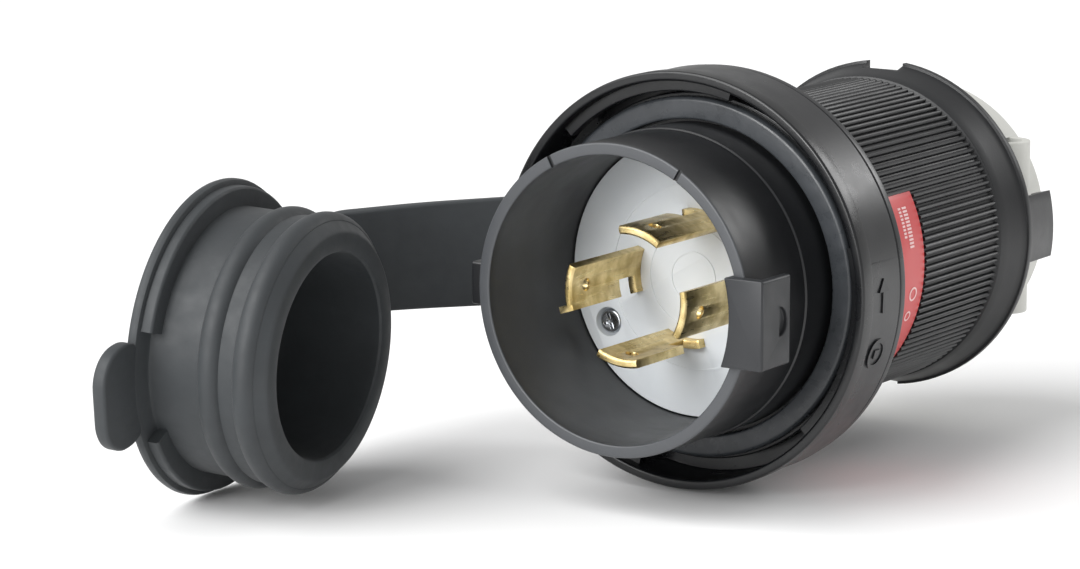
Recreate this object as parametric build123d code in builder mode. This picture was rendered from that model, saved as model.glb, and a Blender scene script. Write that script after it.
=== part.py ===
import os
from math import sqrt

from build123d import *

# Weatherproof twist-lock shore power plug with a tethered closure cap. Millimetres, +Z up.
# The plug's axis is Y: the open mouth faces -Y, the cord leaves along +Y, and the origin is
# the centre of the mouth. Angles round the axis are counted from +X towards +Z.

os.makedirs("parts", exist_ok=True)

# Driving dimensions of the shroud and the contact face
shroud_radius = 28.0
shroud_wall = 2.2
face_station = 27.7
flange_front = 29.4
flange_rear = 32.0
flange_radius = 33.6
bore_radius = shroud_radius - shroud_wall
ridge_station = 19.4
ridge_height = 0.3
mouth_edge_radius = 0.35
nick_angles = (60.0, 118.0)
nick_width = 0.8
nick_depth = 0.5

# Contact carrier, blades and terminals
carrier_disc_radius = 25.6
carrier_disc_rear = 30.0
carrier_body_radius = 23.8
carrier_split = 40.0
carrier_rear = 50.0
ledge_inner_radius = 24.0
blade_circle = 12.0
blade_thickness = 1.5
blade_half_angle = 20.0
blade_tip = 4.5
blade_rear = 58.0
tail_half_angle = 14.0
notch_front = 20.5
notch_rear = 25.8
notch_angle = 16.0
blade_hole_radius = 1.2
blade_hole_station = 9.5
blade_angles = {
    "ground_blade": 178.0,
    "neutral_blade": 262.0,
    "line_blade_a": 350.0,
    "line_blade_b": 76.0,
}
blade_chamfer = 0.35
foot_angle = 5.0
foot_height = 1.4
foot_length = 3.2
terminal_width = 8.0
terminal_height = 7.0
terminal_length = 7.0
terminal_front = 50.5
wire_hole_radius = 2.2
terminal_screw_radius = 1.5
terminal_head_radius = 2.2
terminal_head_height = 1.4

# Face screws that hold the carrier and the shroud to the grip housing
screw_circle = 20.7
screw_angles = (209.0, 29.0)
face_head_radius = 2.3
face_head_front = 28.3
face_head_height = 1.4
face_recess_radius = 2.7
face_shank_radius = 1.5
face_screw_rear = 60.0
cross_width = 0.7
cross_length = 3.0
cross_depth = 0.8
cross_turn = 20.0
face_head_edge_radius = 0.5

# Coupling ring
ring_radius = 38.1
ring_wall = 1.8
ring_front = 22.4
ring_band_front = 25.8
ring_band_rear = 36.0
ring_rear = 38.8
ring_groove = 0.5
ring_edge_radius = 0.4
ring_lip_width = 1.0
web_front = 32.3
web_rear = 36.0
neck_radius = 29.6
ring_running_gap = 0.1
ramp_height = 2.0
ramp_sweep = 60.0
ramp_starts = (75.0, 195.0, 315.0)
ramp_front = 24.6
ramp_thickness = 2.0

# Gasket and internal seal
gasket_inner = 28.9
gasket_outer = 33.0
gasket_front = 27.2
gasket_edge_radius = 0.9
seal_radius = 26.6
seal_width = 1.6

# Grip housing
ledge_front = 36.3
ledge_rear = 38.4
groove_front = 39.8
groove_rear = 44.2
groove_radius = 28.4
grip_radius = 28.6
grip_rear = 91.0
flare_start_radius = 29.6
flare_middle = 95.6
flare_middle_radius = 30.6
flare_radius = 31.4
flare_rear = 98.6
bead_radius = 31.9
housing_rear = 100.0
carrier_chamber_radius = 24.3
cable_chamber_radius = 25.0
cable_chamber_front = 62.0
clamp_seat_front = 94.0
clamp_seat_radius = 27.6
screw_boss_radius = 4.4
screw_boss_rear = 60.5
rear_notch_width = 7.8
rear_notch_depth = 1.3
rear_notch_length = 4.0
hook_inner = 29.4
hook_nose = 28.2
hook_nose_length = 2.0
hook_rear = 110.0
hook_low = -9.4
hook_high = 14.2

# Rating label in its place on the grip
label_thickness = 0.5
label_front = 44.6
label_rear = 61.6
label_low = -62.0
label_high = 28.0

# Catch over the rim, and the small lug opposite
catch_low = -8.7
catch_high = 7.0
catch_proud = 2.2
catch_inner = 25.2
catch_outer = 32.0
catch_plate = 1.6
catch_lip_depth = 4.0
catch_length = 7.5
catch_block = 10.0
catch_edge_radius = 0.5
pocket_radius = 2.6
pocket_depth = 0.9
lug_reach = 30.7
lug_front = 1.6
lug_length = 7.0
lug_half_height = 3.9

# Rear cord clamp
clamp_flange_radius = 27.4
clamp_front = 95.0
clamp_radius = 26.3
clamp_shoulder = 116.0
clamp_rear = 118.6
clamp_shoulder_drop = 1.2
clamp_nose_start = 117.8
clamp_nose_radius = 23.0
clamp_wall_front = 104.0
clamp_cavity_radius = 24.0
clamp_half_gap = 0.3
clamp_screw_x = 21.1
clamp_screw_station = 109.6
clamp_boss_radius = 4.6
clamp_boss_top = 16.8
clamp_shank_radius = 1.6
clamp_head_radius = 2.8
clamp_head_height = 1.8
clamp_head_edge_radius = 0.6
clamp_head_clearance = 0.2
clamp_head_seat = 13.9
nut_radius = 3.0
nut_height = 2.4
grommet_radius = 12.4
grommet_front = 101.5
grommet_rear = 120.0
grommet_lip_radius = 14.2
cord_bore_radius = 8.2

# Closure cap: a bung with a flange, a pull tab and a tongue towards its strap. At rest it
# lies open beside the plug. Turned about both strap hinges it plugs the shroud.
cap_centre = (-70.0, -24.2, -9.8)
cap_yaw = 7.0
cap_pitch = -3.5
cap_roll = 9.7
cap_flange_radius = 28.8
cap_flange_thickness = 2.0
cap_step_radius = 27.7
cap_step = 4.2
bung_radius = 24.2
bung_rib_radius = 25.45
bung_rib_stations = (14.0, 21.0)
bung_rib_half = 2.4
bung_rib_edge_radius = 1.1
bung_front = 25.0
bung_nose_chamfer = 2.2
cup_radius = 18.6
cup_floor = 3.6
cup_edge_radius = 1.2
tab_reach = 38.0
tab_width = 19.0
tab_thickness = 2.8
tab_corner_radius = 6.0
tab_lip_corner_radius = 4.4
tab_cutout_half_angle = 22.0

# Strap: its two hinge lines, and the way its rigid stand-in turns between them
strap_low = -11.2
strap_high = 9.25
strap_thickness = 2.6
strap_hinge_gap = 3.0
tongue_length = 44.5
strap_root = (-32.71, 42.0, 0.0)
strap_root_axis = (-0.0682, 0.0178, 0.9975)
strap_swing = 46.69
strap_bend_x = -41.7
strap_far_end = (-44.5, -3.2)
strap_corner_radius = 5.5
strap_ring_radius = 30.2
strap_pad_depth = 4.0
strap_edge_radius = 0.4


def station(y):
    # The plane across the plug's axis at y, seen from the front: local x is +X, local y is +Z.
    return Plane(origin=(0, y, 0), x_dir=(1, 0, 0), z_dir=(0, -1, 0))


def radial(angle, distance, y):
    # The plane at an angle round the axis that faces outwards: local x runs with the angle.
    plug_axis = Axis((0, 0, 0), (0, -1, 0))
    outward = Vector(1, 0, 0).rotate(plug_axis, angle)
    along = Vector(0, 0, 1).rotate(plug_axis, angle)
    return Plane(origin=Vector(0, y, 0) + outward * distance, x_dir=along, z_dir=outward)


def outline(*corners):
    # A closed face in the XY plane from straight-edged (radius, station) corners.
    with BuildSketch() as face:
        with BuildLine():
            Polyline(*corners, close=True)
        make_face()
    return face.sketch


def sector(plane, inner, outer, start, end):
    # A slice of a flat ring between two angles.
    with BuildSketch(plane) as face:
        with BuildLine():
            outer_arc = CenterArc((0, 0), outer, start, end - start)
            inner_arc = CenterArc((0, 0), inner, start, end - start)
            Line(outer_arc @ 0, inner_arc @ 0)
            Line(outer_arc @ 1, inner_arc @ 1)
        make_face()
    return face.sketch


def spot(angle, distance):
    # The point of a station plane at an angle and a distance from the axis.
    return Vector(distance, 0, 0).rotate(Axis.Z, angle)


def circles(piece, radius):
    # The piece's round edges of one radius.
    rounds = piece.edges().filter_by(GeomType.CIRCLE)
    return rounds.filter_by(lambda edge: abs(edge.radius - radius) < 0.01)


def save(piece, name):
    piece.part.label = name
    export_step(piece.part, f"parts/{name}.step")


# Shroud: the tube round the blades, its base flange, the ledge that the carrier pulls down on
# and the lug at nine o'clock
with BuildPart() as shroud:
    revolve(
        outline(
            (bore_radius, 0),
            (shroud_radius, 0),
            (shroud_radius, ridge_station),
            (shroud_radius + ridge_height, ridge_station + ridge_height),
            (shroud_radius + ridge_height, flange_front),
            (flange_radius, flange_front),
            (flange_radius, flange_rear),
            (ledge_inner_radius, flange_rear),
            (ledge_inner_radius, carrier_disc_rear),
            (bore_radius, carrier_disc_rear),
        ),
        axis=Axis.Y,
    )
    fillet(shroud.edges().filter_by(GeomType.CIRCLE).group_by(Axis.Y)[0], mouth_edge_radius)
    with BuildSketch(station(lug_front)):
        with Locations((-lug_reach / 2, 0)):
            Rectangle(lug_reach, 2 * lug_half_height)
        Circle(shroud_radius - shroud_wall / 2, mode=Mode.SUBTRACT)
    extrude(amount=-lug_length)
    for nick_angle in nick_angles:
        with BuildSketch(station(-nick_depth)):
            with Locations(spot(nick_angle, shroud_radius)):
                Rectangle(nick_width, 2 * shroud_wall, rotation=nick_angle - 90)
        extrude(amount=-2 * nick_depth, mode=Mode.SUBTRACT)
save(shroud, "shroud")

# Catch that hooks over the rim at three o'clock: the cap's pull tab snaps over its outer plate
with BuildPart() as rim_catch:
    catch_height = catch_high - catch_low
    catch_middle = (catch_high + catch_low) / 2
    with BuildSketch(station(-catch_proud)):
        with Locations((catch_outer - catch_block / 2, catch_middle)):
            Rectangle(catch_block, catch_height)
        Circle(catch_inner, mode=Mode.SUBTRACT)
    extrude(amount=-catch_proud)
    with BuildSketch(station(0)):
        with Locations((catch_outer - catch_block / 2, catch_middle)):
            Rectangle(catch_block, catch_height)
        Circle(bore_radius, mode=Mode.INTERSECT)
        Circle(catch_inner, mode=Mode.SUBTRACT)
    extrude(amount=-catch_lip_depth)
    with BuildSketch(station(-catch_proud)):
        with Locations((catch_outer - catch_plate / 2, catch_middle)):
            Rectangle(catch_plate, catch_height)
    extrude(amount=-(catch_proud + catch_length))
    fillet(rim_catch.faces().sort_by(Axis.X)[-1].edges(), catch_edge_radius)
    pocket_centre = (catch_outer, catch_length / 2, catch_middle)
    with BuildSketch(Plane(origin=pocket_centre, x_dir=(0, 1, 0), z_dir=(1, 0, 0))):
        Circle(pocket_radius)
        with Locations((-pocket_radius, 0)):
            Rectangle(2 * pocket_radius, 2 * pocket_radius, mode=Mode.SUBTRACT)
    extrude(amount=-pocket_depth, mode=Mode.SUBTRACT)
save(rim_catch, "rim_catch")

# Gasket against the base flange, and the square-section seal behind it
with BuildPart() as gasket:
    revolve(
        outline(
            (gasket_inner, gasket_front),
            (gasket_outer, gasket_front),
            (gasket_outer, flange_front),
            (gasket_inner, flange_front),
        ),
        axis=Axis.Y,
    )
    fillet(gasket.edges().filter_by(GeomType.CIRCLE).group_by(Axis.Y)[0], gasket_edge_radius)
save(gasket, "gasket")

with BuildPart() as housing_seal:
    revolve(
        outline(
            (seal_radius, flange_rear),
            (seal_radius + seal_width, flange_rear),
            (seal_radius + seal_width, flange_rear + seal_width),
            (seal_radius, flange_rear + seal_width),
        ),
        axis=Axis.Y,
    )
save(housing_seal, "housing_seal")

# Contact carrier in two insulating pieces. The blades pass through both.
blade_inner = blade_circle - blade_thickness / 2
blade_outer = blade_circle + blade_thickness / 2

with BuildPart() as contact_carrier:
    revolve(
        outline(
            (0, face_station),
            (carrier_disc_radius, face_station),
            (carrier_disc_radius, carrier_disc_rear),
            (carrier_body_radius, carrier_disc_rear),
            (carrier_body_radius, carrier_split),
            (0, carrier_split),
        ),
        axis=Axis.Y,
    )
    for angle in blade_angles.values():
        slot = sector(
            station(face_station),
            blade_inner,
            blade_outer,
            angle - blade_half_angle,
            angle + blade_half_angle,
        )
        extrude(slot, amount=face_station - carrier_split, mode=Mode.SUBTRACT)
    with BuildSketch(station(face_station)):
        for angle in screw_angles:
            with Locations(spot(angle, screw_circle)):
                Circle(face_recess_radius)
    extrude(amount=face_station - face_head_front - face_head_height, mode=Mode.SUBTRACT)
    with BuildSketch(station(face_station)):
        for angle in screw_angles:
            with Locations(spot(angle, screw_circle)):
                Circle(face_shank_radius)
    extrude(amount=face_station - carrier_split, mode=Mode.SUBTRACT)
save(contact_carrier, "contact_carrier")

with BuildPart() as carrier_back:
    with BuildSketch(station(carrier_split)):
        Circle(carrier_body_radius)
        for angle in screw_angles:
            with Locations(spot(angle, screw_circle)):
                Circle(face_shank_radius, mode=Mode.SUBTRACT)
    extrude(amount=carrier_split - carrier_rear)
    for angle in blade_angles.values():
        slot = sector(
            station(carrier_split),
            blade_inner,
            blade_outer,
            angle - tail_half_angle,
            angle + tail_half_angle,
        )
        extrude(slot, amount=carrier_split - carrier_rear, mode=Mode.SUBTRACT)
save(carrier_back, "carrier_back")

# Blades: curved strips on one circle, each with a wiring tail, a locking notch and a hole near
# its tip. The ground blade has a small outward foot at the tip.
for blade_name, angle in blade_angles.items():
    with BuildPart() as blade:
        blade_face = sector(
            station(blade_tip), blade_inner, blade_outer, angle - blade_half_angle, angle + blade_half_angle
        )
        extrude(blade_face, amount=blade_tip - carrier_split)
        chamfer(blade.faces().sort_by(Axis.Y)[0].edges().filter_by(GeomType.CIRCLE), blade_chamfer)
        tail_face = sector(
            station(carrier_split),
            blade_inner,
            blade_outer,
            angle - tail_half_angle,
            angle + tail_half_angle,
        )
        extrude(tail_face, amount=carrier_split - blade_rear)
        notch_face = sector(
            station(notch_front),
            blade_inner - 1,
            blade_outer + 1,
            angle + blade_half_angle - notch_angle,
            angle + blade_half_angle + 2,
        )
        extrude(notch_face, amount=notch_front - notch_rear, mode=Mode.SUBTRACT)
        with BuildSketch(radial(angle, blade_inner - 2, blade_hole_station)):
            Circle(blade_hole_radius)
        extrude(amount=blade_thickness + 4, mode=Mode.SUBTRACT)
        if blade_name == "ground_blade":
            foot_edge = angle + blade_half_angle
            foot_face = sector(
                station(blade_tip),
                blade_inner,
                blade_outer + foot_height,
                foot_edge - foot_angle,
                foot_edge,
            )
            extrude(foot_face, amount=-foot_length)
    save(blade, blade_name)

# Wire terminals behind the carrier, one clamped on each blade's tail, and their screws
terminal_middle = terminal_front + terminal_length / 2
with BuildPart() as wire_terminals:
    for angle in blade_angles.values():
        with BuildSketch(radial(angle, blade_outer, terminal_middle)):
            Rectangle(terminal_width, terminal_length)
        extrude(amount=terminal_height)
        with BuildSketch(station(terminal_front - 1)):
            with Locations(spot(angle, blade_outer + terminal_height / 2)):
                Circle(wire_hole_radius)
        extrude(amount=-(terminal_length + 2), mode=Mode.SUBTRACT)
        with BuildSketch(radial(angle, blade_outer + terminal_height / 2, terminal_middle)):
            Circle(terminal_screw_radius)
        extrude(amount=terminal_height, mode=Mode.SUBTRACT)
save(wire_terminals, "wire_terminals")

with BuildPart() as terminal_screws:
    for angle in blade_angles.values():
        screw_start = blade_outer + terminal_height / 2 + wire_hole_radius
        with BuildSketch(radial(angle, screw_start, terminal_middle)):
            Circle(terminal_screw_radius)
        extrude(amount=terminal_height / 2 - wire_hole_radius)
        with BuildSketch(radial(angle, blade_outer + terminal_height, terminal_middle)):
            Circle(terminal_head_radius)
        extrude(amount=terminal_head_height)
save(terminal_screws, "terminal_screws")

# Face screws: cross-recessed heads sunk in the carrier, shanks into the housing's bosses
with BuildPart() as face_screws:
    with BuildSketch(station(face_head_front)):
        for angle in screw_angles:
            with Locations(spot(angle, screw_circle)):
                Circle(face_head_radius)
    extrude(amount=-face_head_height)
    fillet(face_screws.edges().filter_by(GeomType.CIRCLE).group_by(Axis.Y)[0], face_head_edge_radius)
    with BuildSketch(station(face_head_front + face_head_height)):
        for angle in screw_angles:
            with Locations(spot(angle, screw_circle)):
                Circle(face_shank_radius)
    extrude(amount=face_head_front + face_head_height - face_screw_rear)
    with BuildSketch(station(face_head_front)):
        for angle in screw_angles:
            with Locations(spot(angle, screw_circle)):
                Rectangle(cross_length, cross_width, rotation=cross_turn)
                Rectangle(cross_width, cross_length, rotation=cross_turn)
    extrude(amount=-cross_depth, mode=Mode.SUBTRACT)
save(face_screws, "face_screws")

# Coupling ring: a deep cup of a ring that turns on the housing's neck, held between the
# shroud's flange and the housing's ledge, with three bayonet ramps inside its front
ring_bore = ring_radius - ring_wall
with BuildPart() as coupling_ring:
    revolve(
        outline(
            (ring_bore, ring_front),
            (ring_radius, ring_front),
            (ring_radius, ring_band_front),
            (ring_radius - ring_groove, ring_band_front + ring_groove / 2),
            (ring_radius - ring_groove / 2, ring_band_rear),
            (ring_radius - 2 * ring_groove, ring_band_rear + ring_groove),
            (ring_radius - ring_groove, ring_band_rear + 2 * ring_groove),
            (ring_radius - ring_groove, ring_rear),
            (flange_radius + ring_lip_width, ring_rear),
            (flange_radius + ring_lip_width, web_rear),
            (neck_radius + ring_running_gap, web_rear),
            (neck_radius + ring_running_gap, web_front),
            (ring_bore, web_front),
        ),
        axis=Axis.Y,
    )
    fillet(coupling_ring.edges().filter_by(GeomType.CIRCLE).group_by(Axis.Y)[0], ring_edge_radius)
    for start in ramp_starts:
        ramp_root = ring_bore + ring_wall / 3
        ramp = sector(station(ramp_front), ring_bore - ramp_height, ramp_root, start, start + ramp_sweep)
        extrude(ramp, amount=-ramp_thickness)
save(coupling_ring, "coupling_ring")

# Grip housing: neck, retaining ledge, strap groove, long grip, flare with its rear bead, two
# rear hooks, and inside it two bosses for the face screws
with BuildPart() as grip_housing:
    revolve(
        outline(
            (carrier_chamber_radius, flange_rear),
            (seal_radius, flange_rear),
            (seal_radius, flange_rear + seal_width),
            (seal_radius + seal_width, flange_rear + seal_width),
            (seal_radius + seal_width, flange_rear),
            (neck_radius, flange_rear),
            (neck_radius, ledge_front),
            (flange_radius, ledge_front),
            (flange_radius, ledge_rear),
            (neck_radius, ledge_rear),
            (neck_radius, groove_front),
            (groove_radius, groove_front),
            (groove_radius, groove_rear),
            (grip_radius, groove_rear),
            (grip_radius, grip_rear),
            (flare_start_radius, grip_rear + 0.4),
            (flare_middle_radius, flare_middle),
            (flare_radius, flare_rear),
            (bead_radius, flare_rear),
            (bead_radius, housing_rear),
            (clamp_seat_radius, housing_rear),
            (clamp_seat_radius, clamp_seat_front),
            (cable_chamber_radius, clamp_seat_front),
            (cable_chamber_radius, cable_chamber_front),
            (carrier_chamber_radius, cable_chamber_front),
        ),
        axis=Axis.Y,
    )
    with BuildSketch(station(carrier_rear)):
        for angle in screw_angles:
            with Locations(spot(angle, screw_circle)):
                Circle(screw_boss_radius)
        Circle(carrier_chamber_radius + 0.5, mode=Mode.INTERSECT)
    extrude(amount=carrier_rear - screw_boss_rear)
    with BuildSketch(station(carrier_rear)):
        for angle in screw_angles:
            with Locations(spot(angle, screw_circle)):
                Circle(face_shank_radius)
    extrude(amount=carrier_rear - screw_boss_rear, mode=Mode.SUBTRACT)
    with BuildSketch(station(housing_rear)):
        for side in (1, -1):
            with Locations((0, side * (bead_radius + flare_radius) / 2)):
                Rectangle(rear_notch_width, bead_radius - flare_radius + 2 * rear_notch_depth)
    extrude(amount=rear_notch_length, mode=Mode.SUBTRACT)
    for side in (0, 180):
        low = side + (hook_low if side == 0 else -hook_high)
        high = side + (hook_high if side == 0 else -hook_low)
        arm = sector(station(housing_rear - 1), hook_inner, flare_radius, low, high)
        extrude(arm, amount=housing_rear - 1 - hook_rear)
        nose = sector(station(hook_rear - hook_nose_length), hook_nose, flare_radius, low, high)
        extrude(nose, amount=-hook_nose_length)
save(grip_housing, "grip_housing")

# Rating label bent round the front of the grip
with BuildPart() as rating_label:
    label_outer = grip_radius + label_thickness
    label_face = sector(station(label_front), grip_radius, label_outer, label_low, label_high)
    extrude(label_face, amount=label_front - label_rear)
save(rating_label, "rating_label")

# Rubber ring that anchors the strap behind the coupling ring
strap_width = strap_high - strap_low
strap_middle = (strap_high + strap_low) / 2
with BuildPart() as strap_ring:
    revolve(
        outline(
            (groove_radius, groove_front),
            (strap_ring_radius, groove_front),
            (strap_ring_radius, groove_rear),
            (groove_radius, groove_rear),
        ),
        axis=Axis.Y,
    )
    with BuildSketch(station(groove_front)):
        with Locations((strap_root[0] + strap_hinge_gap + strap_pad_depth / 2, strap_middle)):
            Rectangle(strap_pad_depth, strap_width)
        Circle(groove_radius + 0.5, mode=Mode.SUBTRACT)
    extrude(amount=groove_front - groove_rear)
save(strap_ring, "strap_ring")

# Strap between its two hinge lines. Its outline is drawn as it lies with the cap closed, when
# it passes outside the coupling ring, and is then swung back about the root hinge.
root_point = Vector(*strap_root)
swing_axis = Axis((0, 0, 0), strap_root_axis)
open_x = Vector(1, 0, 0).rotate(swing_axis, -strap_swing)
open_z = Vector(0, 0, 1).rotate(swing_axis, -strap_swing)
open_strap = Plane(origin=root_point, x_dir=open_x, z_dir=open_z)
bend = (strap_bend_x - root_point.X, 0.0)
far = (strap_far_end[0] - root_point.X, strap_far_end[1] - root_point.Y)
with BuildPart() as cap_strap:
    with BuildSketch(open_strap.offset(strap_low)):
        with BuildLine():
            FilletPolyline((0, 0), bend, far, radius=strap_corner_radius)
        trace(line_width=strap_thickness)
        for end in ((0, 0), far):
            with Locations(end):
                Circle(strap_thickness / 2)
    extrude(amount=strap_width)
    strap_sides = cap_strap.faces().filter_by(Axis(root_point, open_z))
    fillet(strap_sides.edges().filter_by(GeomType.LINE), strap_edge_radius)
save(cap_strap, "cap_strap")

# Closure cap in its own plane: local x runs towards the strap, local z out of the bung's nose
cap_nose = Vector(1, 0, 0).rotate(Axis.Y, -cap_pitch).rotate(Axis.Z, cap_yaw)
cap_across = Vector(0, 1, 0).rotate(Axis.Z, cap_yaw).rotate(Axis((0, 0, 0), cap_nose), cap_roll)
cap_plane = Plane(origin=cap_centre, x_dir=cap_across, z_dir=cap_nose)
rib_corner = sqrt(bung_rib_half**2 - (bung_rib_half - (bung_rib_radius - bung_radius)) ** 2)
with BuildPart() as closure_cap:
    with BuildSketch(cap_plane):
        Circle(cap_flange_radius)
    extrude(amount=cap_flange_thickness)
    with BuildSketch(cap_plane):
        Circle(bung_radius)
    extrude(amount=bung_front)
    nose_edge = circles(closure_cap, bung_radius).sort_by(Axis(cap_centre, cap_nose))[-1]
    chamfer(nose_edge, bung_nose_chamfer)
    step_end = 180 - tab_cutout_half_angle
    step_face = sector(cap_plane, bung_radius - 1, cap_step_radius, -step_end, step_end)
    extrude(step_face, amount=cap_step)
    for rib_station in bung_rib_stations:
        with BuildSketch(cap_plane.offset(rib_station - rib_corner)):
            Circle(bung_rib_radius)
            Circle(bung_radius - 1, mode=Mode.SUBTRACT)
        extrude(amount=2 * rib_corner)
    fillet(circles(closure_cap, bung_rib_radius), bung_rib_edge_radius)
    with BuildSketch(cap_plane):
        with Locations((-(tab_reach + bung_radius) / 2, 0)):
            RectangleRounded(tab_reach - bung_radius, tab_width, tab_corner_radius)
    extrude(amount=cap_flange_thickness)
    with BuildSketch(cap_plane):
        with Locations((-(tab_reach + cap_flange_radius) / 2, 0)):
            RectangleRounded(tab_reach - cap_flange_radius, tab_width, tab_lip_corner_radius)
    extrude(amount=cap_flange_thickness - tab_thickness)
    with BuildSketch(cap_plane):
        with Locations(((tongue_length - strap_hinge_gap + bung_radius) / 2, strap_middle)):
            Rectangle(tongue_length - strap_hinge_gap - bung_radius, strap_width)
    extrude(amount=strap_thickness)
    with BuildSketch(cap_plane.offset(bung_front)):
        Circle(cup_radius)
    extrude(amount=cup_floor - bung_front, mode=Mode.SUBTRACT)
    fillet(circles(closure_cap, cup_radius), cup_edge_radius)
save(closure_cap, "closure_cap")

# Rear cord clamp: two halves parted on the level plane, with screw bosses at both sides
clamp_screw_spots = ((clamp_screw_x, clamp_screw_station), (-clamp_screw_x, clamp_screw_station))
clamp_outline = (
    (clamp_flange_radius, clamp_front),
    (clamp_flange_radius, housing_rear),
    (clamp_radius, housing_rear),
    (clamp_radius, clamp_shoulder),
    (clamp_radius - clamp_shoulder_drop, clamp_nose_start),
    (clamp_nose_radius, clamp_rear),
    (grommet_radius, clamp_rear),
    (grommet_radius, clamp_wall_front),
    (clamp_cavity_radius, clamp_wall_front),
    (clamp_cavity_radius, clamp_front),
)
for half_name, half_side in (("clamp_upper", 1), ("clamp_lower", -1)):
    with BuildPart() as clamp_half:
        revolve(outline(*clamp_outline), axis=Axis.Y)
        with BuildSketch(Plane.XY.offset(half_side * clamp_half_gap)):
            with Locations(*clamp_screw_spots):
                Circle(clamp_boss_radius)
        extrude(amount=half_side * (clamp_boss_top - clamp_half_gap))
        kept_side = Keep.TOP if half_side > 0 else Keep.BOTTOM
        split(bisect_by=Plane.XY.offset(half_side * clamp_half_gap), keep=kept_side)
        with BuildSketch(Plane.XY):
            with Locations(*clamp_screw_spots):
                Circle(clamp_shank_radius)
        extrude(amount=half_side * clamp_boss_top, mode=Mode.SUBTRACT)
        with BuildSketch(Plane.XY.offset(half_side * clamp_head_seat)):
            with Locations(*clamp_screw_spots):
                if half_side > 0:
                    Circle(clamp_head_radius + clamp_head_clearance)
                else:
                    RegularPolygon(nut_radius + clamp_head_clearance, 6)
        extrude(amount=half_side * (clamp_boss_top - clamp_head_seat), mode=Mode.SUBTRACT)
    save(clamp_half, half_name)

with BuildPart() as clamp_screws:
    with BuildSketch(Plane.XY.offset(clamp_head_seat)):
        with Locations(*clamp_screw_spots):
            Circle(clamp_head_radius)
    extrude(amount=clamp_head_height)
    fillet(clamp_screws.edges().filter_by(GeomType.CIRCLE).group_by(Axis.Z)[-1], clamp_head_edge_radius)
    with BuildSketch(Plane.XY.offset(clamp_head_seat)):
        with Locations(*clamp_screw_spots):
            Circle(clamp_shank_radius)
    extrude(amount=-(2 * clamp_head_seat + nut_height))
    with BuildSketch(Plane.XY.offset(clamp_head_seat + clamp_head_height)):
        with Locations(*clamp_screw_spots):
            Rectangle(cross_length, cross_width)
            Rectangle(cross_width, cross_length)
    extrude(amount=-cross_depth, mode=Mode.SUBTRACT)
save(clamp_screws, "clamp_screws")

with BuildPart() as clamp_nuts:
    with BuildSketch(Plane.XY.offset(-clamp_head_seat)):
        with Locations(*clamp_screw_spots):
            RegularPolygon(nut_radius, 6)
            Circle(clamp_shank_radius, mode=Mode.SUBTRACT)
    extrude(amount=-nut_height)
save(clamp_nuts, "clamp_nuts")

# Rubber grommet that the cord passes through
with BuildPart() as cord_grommet:
    revolve(
        outline(
            (cord_bore_radius, grommet_front),
            (grommet_lip_radius, grommet_front),
            (grommet_lip_radius, clamp_wall_front),
            (grommet_radius, clamp_wall_front),
            (grommet_radius, clamp_rear),
            (grommet_lip_radius, clamp_rear),
            (grommet_lip_radius, grommet_rear),
            (cord_bore_radius, grommet_rear),
        ),
        axis=Axis.Y,
    )
save(cord_grommet, "cord_grommet")
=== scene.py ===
import math

import bmesh
import bpy
from mathutils import Matrix, Vector


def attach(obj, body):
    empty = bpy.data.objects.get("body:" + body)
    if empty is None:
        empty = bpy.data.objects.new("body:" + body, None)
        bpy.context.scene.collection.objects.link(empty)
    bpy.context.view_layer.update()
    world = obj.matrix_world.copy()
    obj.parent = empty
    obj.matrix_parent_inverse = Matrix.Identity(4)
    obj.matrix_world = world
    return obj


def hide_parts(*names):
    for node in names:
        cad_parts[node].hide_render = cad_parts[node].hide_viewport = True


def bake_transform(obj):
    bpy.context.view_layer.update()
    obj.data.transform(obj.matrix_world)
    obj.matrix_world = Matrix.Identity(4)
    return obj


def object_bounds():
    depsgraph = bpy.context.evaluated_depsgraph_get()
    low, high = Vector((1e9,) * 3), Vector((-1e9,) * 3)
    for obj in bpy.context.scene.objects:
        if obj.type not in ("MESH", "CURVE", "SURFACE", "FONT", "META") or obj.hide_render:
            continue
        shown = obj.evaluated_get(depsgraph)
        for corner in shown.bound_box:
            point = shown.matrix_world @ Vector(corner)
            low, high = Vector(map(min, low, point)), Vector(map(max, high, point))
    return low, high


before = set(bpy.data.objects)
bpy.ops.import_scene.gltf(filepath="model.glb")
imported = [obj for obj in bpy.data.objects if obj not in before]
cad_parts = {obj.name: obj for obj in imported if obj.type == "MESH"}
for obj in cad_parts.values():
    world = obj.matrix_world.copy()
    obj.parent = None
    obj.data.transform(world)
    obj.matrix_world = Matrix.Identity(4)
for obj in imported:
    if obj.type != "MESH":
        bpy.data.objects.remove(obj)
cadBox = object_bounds()
mm = 0.001
tau = 2 * math.pi
merge = {"distance": 1e-6, "flatDegrees": 0.5, "edgeDegrees": 28, "bevelSteps": 2, "smoothDegrees": 40}
skin = {"noiseSpan": (0.3, 0.7), "patchSpan": (0.35, 0.65), "scatterReach": (0.002, 0.002, 0.0022),
        "grainRise": 0.0001, "lineRise": 0.00005}


def linear(hexColour):
    # sRGB hex to the linear values that the shader works in
    values = [int(hexColour[i:i + 2], 16) / 255 for i in (1, 3, 5)]
    return [v / 12.92 if v <= 0.04045 else ((v + 0.055) / 1.055) ** 2.4 for v in values] + [1.0]


def addNode(tree, kind, settings=None, links=None):
    # one node, its settings (attributes or input values) and what feeds it
    node = tree.nodes.new(kind)
    for key, value in (settings or {}).items():
        if isinstance(key, str) and hasattr(node, key):
            setattr(node, key, value)
        else:
            node.inputs[key].default_value = value
    for key, source in (links or {}).items():
        tree.links.new(source, node.inputs[key])
    return node


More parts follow.
